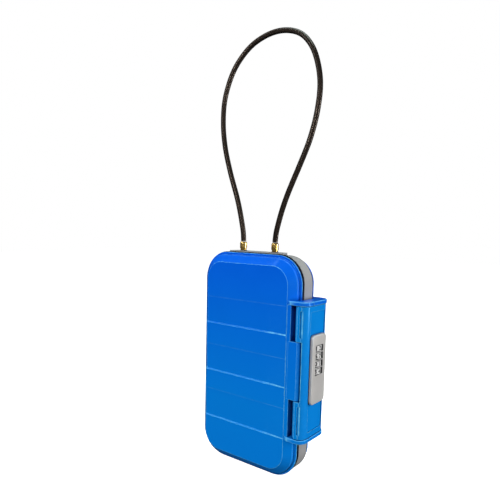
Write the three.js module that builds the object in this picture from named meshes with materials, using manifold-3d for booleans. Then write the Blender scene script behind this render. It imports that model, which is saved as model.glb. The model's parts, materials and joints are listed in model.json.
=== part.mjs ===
// Portable lock box with a steel cable shackle: a shallow two-shell case on a grey mid
// frame, closed by a hinged side latch that carries a four-dial combination lock.
// Millimetres. +X to the latch side, -Y to the front cover, +Z up. While the case is
// designed, x = 0 and y = 0 are its middle; CENTRE_SHIFT then moves everything so that
// the origin is the bottom centre of the whole object without its cable.
import * as THREE from "three";
import { mergeVertices } from "three/addons/utils/BufferGeometryUtils.js";
import Module from "manifold-3d";

const wasm = await Module();
wasm.setup();

// ---- driving dimensions: case ----
const WIDTH = 98.4;
const HEIGHT = 180;
const CORNER = 22.9;
const FACE_Y = 17.15;
const SEAM_Y = 7.8;
const FLANGE = 1.5;
const BODY_INSET = 2.2;
const FACE_ROUND = 6.6;
const WALL = 2;
const FRAME_INSET = 1.3;
const FRAME_WALL = 3.5;
const FRAME_Y = 6.4;
const SEAL_INSET = 1;
const SEAL_WALL = 2.4;
const SEAL_GAP = 0.1;
const BANDS = [[36.6, 60.9], [77.9, 100.5], [119.3, 141.7]];
const BAND_DEPTH = 0.7;
const BAND_END = 40.5;

// ---- driving dimensions: case hinge on the left side ----
const HINGE_X = -50.6;
const HINGE_Y = -2;
const HINGE_R = 2.2;
const HINGE_PIN_R = 0.9;
const FRAME_KNUCKLES = [[38, 56], [81, 99], [124, 142]];
const COVER_KNUCKLES = [[56.5, 80.5], [99.5, 123.5]];
const HINGE_BORE_Z = [30, 150];

// ---- driving dimensions: latch and its hinge on the right side ----
const LATCH_X = 58.6;
const LATCH_Y = 17.6;
const LATCH_R = 6.2;
const LATCH_REAR_R = 8;
const LATCH_WALL = 1.8;
const LATCH_Z = [39.5, 142.8];
const LIP_X = 59.2;
const LIP_Y = 18.4;
const LIP_R = 7;
const LIP_REAR_R = 8.8;
const LIPS = [[36, 39.2], [143.1, 146.3]];
const PIVOT_X = 51;
const PIVOT_Y = -14.25;
const PIVOT_R = 2.9;
const PIVOT_PIN_R = 1.2;
const TAB_Z = [69.3, 115.2];
const SHOULDER_X = 45;
const LEDGE_X = 49.9;

// ---- driving dimensions: lock plate, dials and lock works ----
const PLATE_X = 61;
const PLATE_SEAT_X = 58.1;
const PLATE_Z = [65.9, 120.4];
const PLATE_WIDTH = 20.3;
const PLATE_CORNER = 3.3;
const DIAL_X = 55.3;
const DIAL_R = 6.3;
const DIAL_HALF = 2.1;
const DIAL_PITCH = 6.1;
const DIAL_FIRST_Z = 91.25;
const DIAL_COUNT = 4;
const DIGITS = 10;
const DIGIT_FLAT = 0.22;
const BOLT_TRAVEL = 4.5;
const BOLT_NOSE_Z = 58.6;
const DIAL_ROOM_Z = [87.4, 113.4];
const WORKS_Z = [62, 118];
const WORKS_X = [50.9, 56.7];
const KEEPER_SCREW_Z = 45.2;
const keeperScrews = [-2.7, 2.7];

// ---- driving dimensions: cable ends ----
const CABLE_R = 2.2;
const CABLE_END_X = 16.3;
const CABLE_START_Z = 189.2;
const PAD_X = [-27, 25];
const PAD_HALF_Y = 5.6;
const PAD_TOP = 181.3;
const CATCH_TRAVEL = 4.2;

const FRAME_TOP = HEIGHT - FRAME_INSET;
const RIGHT_END = DIAL_X + DIAL_R * Math.cos(DIGIT_FLAT);
const CENTRE_SHIFT = -(RIGHT_END + HINGE_X - HINGE_R) / 2;

// ---- materials ----
function finish(color, roughness, metalness) {
  return new THREE.MeshStandardMaterial({ color, roughness, metalness });
}
const blue = () => finish(0x0468cd, 0.32, 0);
const grey = () => finish(0xafaca8, 0.55, 0);
const black = () => finish(0x1b1b1d, 0.75, 0);
const steel = () => finish(0xb9bbbd, 0.35, 1);
const satin = () => finish(0xb4b2af, 0.4, 0.6);
const brass = () => finish(0xb4964a, 0.3, 1);

// ---- solids: each helper returns a manifold or the geometry for one ----
function solidOf(geometry) {
  geometry.deleteAttribute("normal");
  geometry.deleteAttribute("uv");
  const merged = mergeVertices(geometry);
  const vertProperties = Float32Array.from(merged.attributes.position.array);
  const triVerts = Uint32Array.from(merged.index.array);
  return new wasm.Manifold(new wasm.Mesh({ numProp: 3, vertProperties, triVerts }));
}

function joined(...solids) {
  return solids.reduce((whole, piece) => whole.add(piece));
}

function cut(base, ...tools) {
  return tools.reduce((whole, tool) => whole.subtract(tool), base);
}

function block([x0, x1], [y0, y1], [z0, z1]) {
  const box = new THREE.BoxGeometry(x1 - x0, y1 - y0, z1 - z0);
  box.translate((x0 + x1) / 2, (y0 + y1) / 2, (z0 + z1) / 2);
  return solidOf(box);
}

function rodZ(x, y, radius, [z0, z1], sides = 24) {
  const rod = new THREE.CylinderGeometry(radius, radius, z1 - z0, sides);
  rod.rotateX(Math.PI / 2);
  rod.translate(x, y, (z0 + z1) / 2);
  return solidOf(rod);
}

function rodY(x, z, radius, [y0, y1], sides = 20) {
  const rod = new THREE.CylinderGeometry(radius, radius, y1 - y0, sides);
  rod.translate(x, (y0 + y1) / 2, z);
  return solidOf(rod);
}

function rodX(y, z, radius, [x0, x1], sides = 16) {
  const rod = new THREE.CylinderGeometry(radius, radius, x1 - x0, sides);
  rod.rotateZ(Math.PI / 2);
  rod.translate((x0 + x1) / 2, y, z);
  return solidOf(rod);
}

// Outlines are drawn flat and turned so that they are pushed along one axis of the case.
const ALONG = {
  x: [[0, 1, 0], [0, 0, 1], [1, 0, 0]],
  y: [[1, 0, 0], [0, 0, 1], [0, -1, 0]],
  z: [[1, 0, 0], [0, 1, 0], [0, 0, 1]],
};

function prismGeometry(shape, axis, from, depth, options = {}) {
  const settings = { depth, bevelEnabled: false, curveSegments: 4, ...options };
  const geometry = new THREE.ExtrudeGeometry(shape, settings);
  const basis = ALONG[axis].map((v) => new THREE.Vector3(...v));
  geometry.applyMatrix4(new THREE.Matrix4().makeBasis(...basis));
  geometry.translate(...basis[2].clone().multiplyScalar(from).toArray());
  return geometry;
}

function prism(shape, axis, low, high) {
  const start = axis === "y" ? -high : low;
  return solidOf(prismGeometry(shape, axis, start, high - low));
}

function roundedRect(width, height, radius, centreX = 0, centreY = 0) {
  const x = width / 2;
  const y = height / 2;
  const shape = new THREE.Shape();
  shape.absarc(centreX + x - radius, centreY - y + radius, radius, -Math.PI / 2, 0);
  shape.absarc(centreX + x - radius, centreY + y - radius, radius, 0, Math.PI / 2);
  shape.absarc(centreX - x + radius, centreY + y - radius, radius, Math.PI / 2, Math.PI);
  shape.absarc(centreX - x + radius, centreY - y + radius, radius, Math.PI, Math.PI * 1.5);
  shape.closePath();
  return shape;
}

function caseOutline(inset) {
  const radius = CORNER - inset;
  return roundedRect(WIDTH - 2 * inset, HEIGHT - 2 * inset, radius, 0, HEIGHT / 2);
}

function caseRing(inset, wall, low, high) {
  const outer = prism(caseOutline(inset), "y", low, high);
  return cut(outer, prism(caseOutline(inset + wall), "y", low - 1, high + 1));
}

function polygon(points) {
  return new THREE.Shape(points.map(([x, y]) => new THREE.Vector2(x, y)));
}

function latheZ(x, y, profile, sides = 24) {
  const points = profile.map(([r, z]) => new THREE.Vector2(r, z));
  const geometry = new THREE.LatheGeometry(points, sides);
  geometry.rotateX(Math.PI / 2);
  geometry.translate(x, y, 0);
  return geometry;
}

function coil([x, y], radius, wire, [z0, z1], turns) {
  const points = [];
  for (let i = 0; i <= turns * 8; i += 1) {
    const turn = (i / 8) * Math.PI * 2;
    const z = z0 + wire + ((z1 - z0 - 2 * wire) * i) / (turns * 8);
    points.push(new THREE.Vector3(radius * Math.cos(turn), radius * Math.sin(turn), z));
  }
  const path = new THREE.CatmullRomCurve3(points);
  const section = new THREE.Shape().absarc(0, 0, wire, 0, Math.PI * 2);
  const options = { extrudePath: path, steps: turns * 10, curveSegments: 3 };
  return new THREE.ExtrudeGeometry(section, options).translate(x, y, 0);
}

// ---- assembly ----
const group = new THREE.Group();
group.position.x = CENTRE_SHIFT;

function place(name, form, material) {
  let geometry = form;
  if (form instanceof wasm.Manifold) {
    const { vertProperties, triVerts } = form.getMesh();
    geometry = new THREE.BufferGeometry();
    geometry.setAttribute("position", new THREE.BufferAttribute(vertProperties, 3));
    geometry.setIndex(new THREE.BufferAttribute(triVerts, 1));
  }
  const mesh = new THREE.Mesh(geometry, material);
  mesh.name = name;
  group.add(mesh);
}

// ---- the two blue shells ----
// A solid tray: its face is rounded over all round, its open side is flat at the seam.
function traySolid(inset, faceY, openY, round, side) {
  const options = {
    bevelEnabled: true,
    bevelThickness: round,
    bevelSize: round,
    bevelOffset: -round,
    bevelSegments: 3,
  };
  const depth = faceY - openY - round;
  const geometry = prismGeometry(caseOutline(inset), "y", openY, depth, options);
  const kept = block([-WIDTH, WIDTH], [-FACE_Y - 1, -openY], [-1, HEIGHT + 1]);
  const tray = solidOf(geometry).intersect(kept);
  return side < 0 ? tray : tray.mirror([0, 1, 0]);
}

function shell(side) {
  const face = [side * (FACE_Y + 1), side * (FACE_Y - BAND_DEPTH)].sort((a, b) => a - b);
  const rim = [side * SEAM_Y, side * (SEAM_Y + FLANGE)].sort((a, b) => a - b);
  const outside = joined(
    traySolid(BODY_INSET, FACE_Y, SEAM_Y, FACE_ROUND, side),
    prism(caseOutline(0), "y", ...rim),
  );
  const innerRound = FACE_ROUND - WALL;
  const inside = traySolid(BODY_INSET + WALL, FACE_Y - WALL, SEAM_Y - 1, innerRound, side);
  const bands = BANDS.map((z) => block([-WIDTH, BAND_END], face, z));
  return cut(outside, inside, ...bands);
}

// A lip is a wall beside the case that closes one end of the latch bay.
function frontLip(z) {
  const outline = new THREE.Shape();
  outline.moveTo(44, -SEAM_Y - 0.1);
  outline.lineTo(41.5, -FACE_Y + 0.6);
  outline.lineTo(45.5, -LIP_Y);
  outline.lineTo(LIP_X - LIP_R, -LIP_Y);
  outline.absarc(LIP_X - LIP_R, -LIP_Y + LIP_R, LIP_R, -Math.PI / 2, 0);
  outline.lineTo(LIP_X, -SEAM_Y - 0.1);
  outline.closePath();
  return prism(outline, "z", ...z);
}

function rearLip(z) {
  const beside = WIDTH / 2 - FRAME_INSET + 0.4;
  const outline = new THREE.Shape();
  outline.moveTo(beside, -SEAM_Y + 0.2);
  outline.lineTo(LIP_X, -SEAM_Y + 0.2);
  outline.lineTo(LIP_X, LIP_Y - LIP_REAR_R);
  outline.absarc(LIP_X - LIP_REAR_R, LIP_Y - LIP_REAR_R, LIP_REAR_R, 0, Math.PI / 2);
  outline.lineTo(45.5, LIP_Y);
  outline.lineTo(41.5, FACE_Y - 0.6);
  outline.lineTo(44, SEAM_Y + FLANGE);
  outline.lineTo(beside, SEAM_Y + 0.1);
  outline.closePath();
  return prism(outline, "z", ...z);
}

const bayZ = [LIPS[0][1] - 0.1, LIPS[1][0] + 0.1];
const screwSpots = [-37.1, 37.1].flatMap((x) => [12.1, HEIGHT - 12.1].map((z) => [x, z]));

// The case hinge: knuckles on one axis beside the frame, on a pin.
function hingeArm([z0, z1]) {
  const arm = polygon([
    [HINGE_X + 2, -SEAM_Y - FLANGE],
    [-WIDTH / 2, -SEAM_Y - FLANGE],
    [-WIDTH / 2 - 0.4, -SEAM_Y],
    [HINGE_X - 1.9, HINGE_Y - 1.1],
    [HINGE_X, HINGE_Y],
    [HINGE_X + 2, HINGE_Y - 0.9],
  ]);
  return joined(prism(arm, "z", z0, z1), rodZ(HINGE_X, HINGE_Y, HINGE_R, [z0, z1]));
}

function frontCover() {
  const shoulder = block([42.8, SHOULDER_X], [-FACE_Y, -SEAM_Y - FLANGE], bayZ);
  const slotDepth = [-FACE_Y - 1, -SEAM_Y - FLANGE - 1.5];
  const slots = block([SHOULDER_X, WIDTH / 2], slotDepth, bayZ);
  const tab = joined(
    block([SHOULDER_X - 2, PIVOT_X], [-FACE_Y, PIVOT_Y + PIVOT_R], TAB_Z),
    rodZ(PIVOT_X, PIVOT_Y, PIVOT_R, TAB_Z),
  );
  const body = joined(shell(-1), shoulder);
  const fitted = joined(cut(body, slots), tab, ...LIPS.map(frontLip), ...COVER_KNUCKLES.map(hingeArm));
  const bore = rodZ(PIVOT_X, PIVOT_Y, PIVOT_PIN_R + 0.2, [TAB_Z[0] - 1, TAB_Z[1] + 1], 16);
  const hingeBore = rodZ(HINGE_X, HINGE_Y, HINGE_PIN_R + 0.2, HINGE_BORE_Z, 16);
  return cut(fitted, bore, hingeBore);
}

// The ledge closes the bay behind the latch, just inside the latch's swing.
function rearCover() {
  const ledge = block([44, LEDGE_X], [FACE_Y - 3.5, FACE_Y], bayZ);
  const bosses = screwSpots.map(([x, z]) => rodY(x, z, 3.2, [SEAM_Y + 0.3, FACE_Y - 1]));
  const holes = screwSpots.map(([x, z]) => rodY(x, z, 1.35, [SEAM_Y, FACE_Y - WALL - 1.8], 12));
  return cut(joined(shell(1), ledge, ...LIPS.map(rearLip), ...bosses), ...holes);
}

place("front_cover", frontCover(), blue());
place("rear_cover", rearCover(), blue());

// ---- the grey frame between them, its seals and screws ----
function midFrame() {
  const ring = caseRing(FRAME_INSET, FRAME_WALL, -FRAME_Y, FRAME_Y);
  const topPad = block(PAD_X, [-PAD_HALF_Y, PAD_HALF_Y], [FRAME_TOP - 1, PAD_TOP]);
  const pads = screwSpots.map(([x, z]) => rodY(x, z, 3.4, [-4, SEAM_Y + 0.2]));
  const padHoles = screwSpots.map(([x, z]) => rodY(x, z, 1.5, [-5, SEAM_Y + 1], 12));
  const knuckles = FRAME_KNUCKLES.map((z) => joined(
    block([HINGE_X, -WIDTH / 2 + FRAME_INSET + 1], [HINGE_Y - 1.2, HINGE_Y + 2.1], z),
    rodZ(HINGE_X, HINGE_Y, HINGE_R, z),
  ));
  const topHoles = [-1, 1].map((side) => rodZ(side * CABLE_END_X, 0, 2, [HEIGHT - 10, HEIGHT + 5], 20));
  const hingeBore = rodZ(HINGE_X, HINGE_Y, HINGE_PIN_R + 0.1, HINGE_BORE_Z, 16);
  const keeperHoles = keeperScrews.map((y) => rodX(y, KEEPER_SCREW_Z, 1.1, [40, 50], 12));
  const holes = [...padHoles, ...topHoles, ...keeperHoles, hingeBore];
  return cut(joined(ring, topPad, ...pads, ...knuckles), ...holes);
}

place("mid_frame", midFrame(), grey());
const sealY = [FRAME_Y + SEAL_GAP, SEAM_Y - SEAL_GAP];
place("front_seal", caseRing(SEAL_INSET, SEAL_WALL, -sealY[1], -sealY[0]), black());
place("rear_seal", caseRing(SEAL_INSET, SEAL_WALL, ...sealY), black());

function screwY(x, z, headY, headR, headH, shankR, tipY) {
  const profile = [[0, headY], [headR * 0.8, headY], [headR, headY + 0.5], [headR, headY + headH],
    [shankR, headY + headH], [shankR, tipY - shankR], [0, tipY]];
  const points = profile.map(([r, y]) => new THREE.Vector2(r, y));
  return new THREE.LatheGeometry(points, 16).translate(x, 0, z);
}

screwSpots.forEach(([x, z], i) => {
  const screw = screwY(x, z, -6, 2.5, 1.9, 1.2, FACE_Y - WALL - 2);
  place(`frame_screw_${i + 1}`, screw, steel());
});

place("case_hinge_pin", rodZ(HINGE_X, HINGE_Y, HINGE_PIN_R, [37.5, 142.5], 16), steel());
place("latch_hinge_pin", rodZ(PIVOT_X, PIVOT_Y, PIVOT_PIN_R, [41, 141.4], 16), steel());

// ---- latch housing: a deep trough that wraps the side of the case ----
function latchOutline(inset) {
  const front = LATCH_R - inset;
  const rear = LATCH_REAR_R - inset;
  const mouth = 50.4 - inset * 4;
  const outline = new THREE.Shape();
  outline.moveTo(mouth, -LATCH_Y + inset);
  outline.absarc(LATCH_X - LATCH_R, -LATCH_Y + LATCH_R, front, -Math.PI / 2, 0);
  outline.absarc(LATCH_X - LATCH_REAR_R, LATCH_Y - LATCH_REAR_R, rear, 0, Math.PI / 2);
  outline.lineTo(mouth, LATCH_Y - inset);
  outline.closePath();
  return outline;
}

function latchHousing() {
  const skin = prism(latchOutline(0), "z", ...LATCH_Z);
  const hollowZ = [LATCH_Z[0] + LATCH_WALL, LATCH_Z[1] - LATCH_WALL];
  const hollow = prism(latchOutline(LATCH_WALL), "z", ...hollowZ);
  const bars = [[LATCH_Z[0], TAB_Z[0] - 0.4], [TAB_Z[1] + 0.4, LATCH_Z[1]]];
  const knuckles = bars.map((z) => joined(
    rodZ(PIVOT_X, PIVOT_Y, PIVOT_R, z),
    block([PIVOT_X, PIVOT_X + 3.6], [-LATCH_Y, PIVOT_Y + 1.5], z),
  ));
  const tabRoom = block([45, PIVOT_X + 3.5], [-20, PIVOT_Y + 4], [TAB_Z[0] - 0.4, TAB_Z[1] + 0.4]);
  const bore = rodZ(PIVOT_X, PIVOT_Y, PIVOT_PIN_R + 0.1, [40.8, 141.6], 16);
  const corner = block([45, PIVOT_X], [-20, PIVOT_Y - PIVOT_R], LATCH_Z);
  const dialRoom = block([54, 60], [-6.8, 6.8], DIAL_ROOM_Z);
  const seatOutline = roundedRect(
    PLATE_WIDTH + 0.4, PLATE_Z[1] - PLATE_Z[0] + 0.4, PLATE_CORNER, 0, (PLATE_Z[0] + PLATE_Z[1]) / 2,
  );
  const seat = prism(seatOutline, "x", PLATE_SEAT_X, LATCH_X + 1);
  const body = cut(skin, hollow, tabRoom);
  return cut(joined(body, ...knuckles), corner, bore, dialRoom, seat);
}

place("latch_housing", latchHousing(), blue());

// ---- lock plate with one slot for each dial ----
const dialZ = Array.from({ length: DIAL_COUNT }, (_, i) => DIAL_FIRST_Z + i * DIAL_PITCH);

function lockPlate() {
  const height = PLATE_Z[1] - PLATE_Z[0];
  const outline = roundedRect(PLATE_WIDTH, height, PLATE_CORNER, 0, PLATE_Z[0] + height / 2);
  const edge = 0.7;
  const depth = PLATE_X - PLATE_SEAT_X - 0.1 - edge;
  const options = {
    bevelEnabled: true,
    bevelThickness: edge,
    bevelSize: edge,
    bevelOffset: -edge,
    bevelSegments: 2,
  };
  const start = PLATE_SEAT_X + 0.1;
  const pillow = solidOf(prismGeometry(outline, "x", start, depth, options));
  const front = block([start, PLATE_X + 1], [-20, 20], [50, 130]);
  const slots = dialZ.map((z) => block([57, 62], [-5.9, 5.9], [z - 2.4, z + 2.4]));
  const sleeveRoom = block([57, 59.6], [-4.8, 4.8], DIAL_ROOM_Z);
  return cut(pillow.intersect(front), sleeveRoom, ...slots);
}

place("lock_plate", lockPlate(), satin());

// ---- dials, cam sleeves, gate and spindle ----
// A dial has a flat for each digit and a finger notch between two flats.
function dialOutline() {
  const shape = new THREE.Shape();
  const notch = Math.PI / DIGITS;
  for (let i = 0; i < DIGITS; i += 1) {
    const middle = (i / DIGITS) * Math.PI * 2;
    const corners = [[-notch, DIAL_R - 0.55], [-DIGIT_FLAT, DIAL_R], [DIGIT_FLAT, DIAL_R]];
    for (const [turn, radius] of corners) {
      const angle = middle + turn;
      const point = [DIAL_X + radius * Math.cos(angle), radius * Math.sin(angle)];
      if (i === 0 && turn === -notch) shape.moveTo(...point);
      else shape.lineTo(...point);
    }
  }
  shape.closePath();
  return shape;
}

dialZ.forEach((z, i) => {
  const wheel = prism(dialOutline(), "z", z - DIAL_HALF, z + DIAL_HALF);
  const wheelBore = rodZ(DIAL_X, 0, 3.1, [z - 3, z + 3]);
  place(`number_dial_${i + 1}`, cut(wheel, wheelBore), satin());
  const sleeve = joined(
    rodZ(DIAL_X, 0, 3, [z - 3.4, z + DIAL_HALF]),
    rodZ(DIAL_X, 0, 4, [z - 3.4, z - 2.4]),
  );
  const bore = rodZ(DIAL_X, 0, 1.5, [z - 5, z + 5], 16);
  const notch = block([DIAL_X - 1.2, DIAL_X + 1.2], [-6, -2.9], [z - 4, z - 2.3]);
  place(`cam_sleeve_${i + 1}`, cut(sleeve, bore, notch), brass());
});

place("dial_spindle", rodZ(DIAL_X, 0, 1.2, [85.6, 115.2], 16), steel());

const gateTeeth = dialZ.map((z) => block([54.4, 56.2], [-7.4, -4.25], [z - 3.3, z - 2.5]));
const gateBar = block([54.2, 56.2], [-8.1, -7.2], [87.6, 113.2]);
place("gate_bar", joined(gateBar, ...gateTeeth), steel());
place("gate_spring", block([54.4, 55.8], [-8.45, -8.25], [92, 109]), steel());

const detentGaps = dialZ.slice(1).map((z) => z - DIAL_PITCH / 2);
const detentLeaf = block([51.6, 56.2], [6.6, 6.85], [88, 112.8]);
const detentSlits = detentGaps.map((z) => block([51, 55], [6, 7.2], [z - 0.35, z + 0.35]));
place("detent_spring", cut(detentLeaf, ...detentSlits), steel());

// ---- lock works: chassis, bolt, cover, reset slide ----
const worksScrews = [[-7.6, 64.5], [7.6, 64.5], [-7.6, 116], [7.6, 116]];

function lockChassis() {
  const body = block(WORKS_X, [-9, 9], WORKS_Z);
  const dialPocket = block([50, 57], [-6.6, 7.15], DIAL_ROOM_Z);
  const gatePocket = block([53.9, 57], [-8.6, -6], DIAL_ROOM_Z);
  const spindleHole = rodZ(DIAL_X, 0, 1.28, [85.4, 115.4], 16);
  const boltWay = block([50, 53.4], [-3.1, 3.1], [61, 86]);
  const resetWay = block([50, 52.3], [4.1, 6.9], [69.6, 77.4]);
  const screwHoles = worksScrews.map(([y, z]) => rodX(y, z, 1, [50, 55], 12));
  return cut(body, dialPocket, gatePocket, spindleHole, boltWay, resetWay, ...screwHoles);
}

function lockBolt() {
  const bar = block([51.4, 53], [-2.8, 2.8], [63, 78]);
  const shelf = block([49, 53], [-2.8, 2.8], [63, 66]);
  const nose = block([49, 50.2], [-2.8, 2.8], [BOLT_NOSE_Z, 66]);
  return joined(bar, shelf, nose);
}

function worksCover() {
  const plate = block([50.1, 50.8], [-9, 9], WORKS_Z);
  const dialWindow = block([50, 51], [-6.4, 6.4], [87.2, 113.6]);
  const boltWindow = block([50, 51], [-3.4, 3.4], [61, 68]);
  const resetWindow = block([50, 51], [4.4, 6.6], [69.8, 77.2]);
  const screwHoles = worksScrews.map(([y, z]) => rodX(y, z, 1, [50, 51], 12));
  return cut(plate, dialWindow, boltWindow, resetWindow, ...screwHoles);
}

place("lock_chassis", lockChassis(), black());
place("lock_bolt", lockBolt(), steel());
place("bolt_spring", coil([52.1, 0], 0.95, 0.2, [78.3, 85.7], 5), steel());
place("works_cover", worksCover(), grey());
const resetHead = block([49.6, 50], [3.9, 7.1], [69.9, 73.7]);
const resetNeck = block([49.9, 52], [4.6, 6.4], [70, 73.6]);
place("reset_slide", joined(resetHead, resetNeck), brass());

// ---- keeper cup on the frame, which the bolt drops into ----
const SIDE_X = WIDTH / 2 - FRAME_INSET;

function keeper() {
  const floor = BOLT_NOSE_Z - BOLT_TRAVEL - 2.7;
  const cup = block([SIDE_X + 0.1, 51.4], [-4.6, 4.6], [floor - 1.4, 58]);
  const foot = block([SIDE_X + 0.1, SIDE_X + 0.9], [-4.6, 4.6], [41, 58]);
  const well = block([SIDE_X + 0.9, 50.5], [-3.3, 3.3], [floor, 59]);
  const holes = keeperScrews.map((y) => rodX(y, KEEPER_SCREW_Z, 1.1, [45, 50]));
  return cut(joined(cup, foot), well, ...holes);
}

place("bolt_keeper", keeper(), steel());
keeperScrews.forEach((y, i) => {
  const screw = joined(
    rodX(y, KEEPER_SCREW_Z, 1.8, [SIDE_X + 1, SIDE_X + 1.9]),
    rodX(y, KEEPER_SCREW_Z, 0.9, [SIDE_X - 3, SIDE_X + 1.2]),
  );
  place(`keeper_screw_${i + 1}`, screw, steel());
});

// ---- works screws: they hold the chassis and its cover in the latch housing ----
worksScrews.forEach(([y, z], i) => {
  place(`works_screw_${i + 1}`, rodX(y, z, 0.8, [50, 54], 12), steel());
});

// ---- cable ends: brass ferrules, sealing rings, nut, and the release catch ----
const WALL_UNDER = FRAME_TOP - FRAME_WALL;
const TOP_BORE_Z = [165, 178];

function ferrule(x, tail) {
  const neck = PAD_TOP + 0.5;
  const head = [[1.8, neck], [2.5, neck], [2.5, neck + 1.3], [2.75, neck + 1.5],
    [2.95, neck + 1.8], [2.95, CABLE_START_Z - 1], [2.5, CABLE_START_Z - 0.3],
    [0, CABLE_START_Z - 0.3]];
  return latheZ(x, 0, [[0, WALL_UNDER - 7], ...tail, ...head]);
}

const plainTail = [[1.8, WALL_UNDER - 7]];
const groovedTail = [[1.4, WALL_UNDER - 7], [1.8, WALL_UNDER - 6.4], [1.8, WALL_UNDER - 4.6],
  [1.2, WALL_UNDER - 4.6], [1.2, WALL_UNDER - 2.6], [1.8, WALL_UNDER - 2.6]];
place("fixed_ferrule", ferrule(-CABLE_END_X, plainTail), brass());
place("release_ferrule", ferrule(CABLE_END_X, groovedTail), brass());
for (const [name, side] of [["fixed_end_seal", -1], ["release_end_seal", 1]]) {
  const ring = [[1.95, PAD_TOP + 0.05], [3.1, PAD_TOP + 0.05], [3.1, PAD_TOP + 0.3],
    [2.9, PAD_TOP + 0.45], [1.95, PAD_TOP + 0.45], [1.95, PAD_TOP + 0.05]];
  place(name, latheZ(side * CABLE_END_X, 0, ring), black());
}

const nutZ = [WALL_UNDER - 4.2, WALL_UNDER - 0.9];
const nut = rodZ(-CABLE_END_X, 0, 4, nutZ, 6);
place("ferrule_nut", cut(nut, rodZ(-CABLE_END_X, 0, 1.95, TOP_BORE_Z)), steel());
const washer = rodZ(-CABLE_END_X, 0, 4.6, [WALL_UNDER - 0.8, WALL_UNDER - 0.1]);
place("ferrule_washer", cut(washer, rodZ(-CABLE_END_X, 0, 1.95, TOP_BORE_Z)), steel());

// The catch is a sliding plate with a keyhole: the narrow end holds the ferrule's groove.
function catchPlate() {
  const z = [WALL_UNDER - 4.2, WALL_UNDER - 3];
  const plate = block([5, 22], [-3.8, 3.8], z);
  const tongue = block([21, 29], [-2.4, 2.4], z);
  const thumb = block([27.6, 29], [-2.4, 2.4], [z[0] - 3.6, z[1]]);
  const hole = rodZ(CABLE_END_X - CATCH_TRAVEL, 0, 2.2, TOP_BORE_Z);
  const slot = block([CABLE_END_X - CATCH_TRAVEL, CABLE_END_X + 1.6], [-1.5, 1.5], TOP_BORE_Z);
  return cut(joined(plate, tongue, thumb), hole, slot);
}

function catchGuide() {
  const body = block([2, 25.5], [-5, 5], [WALL_UNDER - 5.4, WALL_UNDER - 0.1]);
  const channel = block([3.4, 26], [-4.1, 4.1], [WALL_UNDER - 4.4, WALL_UNDER - 2.8]);
  const ferruleHole = rodZ(CABLE_END_X, 0, 2.2, TOP_BORE_Z);
  return cut(body, channel, ferruleHole);
}

place("catch_guide", catchGuide(), black());
place("cable_catch", catchPlate(), steel());

// ---- the cable: a loop from ferrule to ferrule that leans back over the case ----
const cableRoute = [
  [-16.3, 0, CABLE_START_Z], [-16.4, 0, 191.5], [-17.1, 0.1, 197.5], [-18.9, 0.3, 205.2],
  [-21.8, 0.5, 216], [-25.5, 0.9, 226.8], [-30, 1.4, 237.6], [-34.5, 2.1, 248.4],
  [-42.4, 4.1, 270], [-47.4, 6.8, 291.6], [-48.7, 10.3, 313.2], [-44, 14.5, 334.8],
  [-36.5, 17.2, 347.4], [-26.8, 19.4, 356.4], [-15, 20.7, 361.4], [-2.8, 21, 362.9],
  [9.2, 20.7, 361.2], [21.4, 19.4, 355.9], [31.6, 17.1, 346.6], [39.6, 14.3, 334.2],
  [46.6, 10.3, 313.2], [47.3, 6.8, 291.6], [43.4, 4.1, 270], [35.3, 2.1, 248.4],
  [30.6, 1.4, 237.6], [26, 0.9, 226.8], [22.1, 0.5, 216], [18.9, 0.3, 205.2],
  [17.1, 0.1, 197.5], [16.4, 0, 191.5], [16.3, 0, CABLE_START_Z],
];
const cablePath = new THREE.CatmullRomCurve3(cableRoute.map((p) => new THREE.Vector3(...p)));
const cableSection = new THREE.Shape().absarc(0, 0, CABLE_R, 0, Math.PI * 2);
const cableOptions = { extrudePath: cablePath, steps: 60, curveSegments: 5 };
place("steel_cable", new THREE.ExtrudeGeometry(cableSection, cableOptions), black());

group.updateMatrixWorld(true);
export default group;
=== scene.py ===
"""The looks of a portable lock box with a cable shackle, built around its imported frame.

Shapes are drawn in millimetres with x = 0 and y = 0 at the middle of the case and z = 0 under
it. TO_FRAME then turns them into metres in the frame's own axes.
"""
import json
import math
import bmesh
import bpy
from mathutils import Matrix, Vector


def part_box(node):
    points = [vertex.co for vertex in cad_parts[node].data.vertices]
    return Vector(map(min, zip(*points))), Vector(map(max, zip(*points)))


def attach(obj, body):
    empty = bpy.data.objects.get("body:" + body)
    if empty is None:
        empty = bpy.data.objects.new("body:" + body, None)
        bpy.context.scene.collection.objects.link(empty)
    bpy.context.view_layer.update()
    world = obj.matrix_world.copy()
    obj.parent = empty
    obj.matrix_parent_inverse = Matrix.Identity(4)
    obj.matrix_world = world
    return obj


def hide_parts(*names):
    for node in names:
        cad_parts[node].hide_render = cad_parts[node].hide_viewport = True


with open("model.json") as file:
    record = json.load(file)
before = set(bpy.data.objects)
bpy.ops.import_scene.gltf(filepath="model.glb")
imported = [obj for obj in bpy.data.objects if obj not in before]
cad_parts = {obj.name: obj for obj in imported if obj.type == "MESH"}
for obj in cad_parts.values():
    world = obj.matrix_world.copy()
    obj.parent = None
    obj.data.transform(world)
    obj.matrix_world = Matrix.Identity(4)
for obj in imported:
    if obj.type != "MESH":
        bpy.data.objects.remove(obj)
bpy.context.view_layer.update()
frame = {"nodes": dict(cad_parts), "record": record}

# ---- driving dimensions read from the frame, in millimetres ----
MM = 0.001
SEAL_INSET = 1.0
SEAM_GAP = 0.1
seal_low, seal_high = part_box("rear_seal")
CASE_X = (seal_low.x + seal_high.x) / 2
TO_FRAME = Matrix.Translation((CASE_X, 0, 0)) @ Matrix.Scale(MM, 4)


def spans(node):
    """The (low, high) of a CAD node along x, y and z, in millimetres from the case's middle."""
    low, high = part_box(node)
    x = ((low.x - CASE_X) / MM, (high.x - CASE_X) / MM)
    return x, (low.y / MM, high.y / MM), (low.z / MM, high.z / MM)


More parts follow.
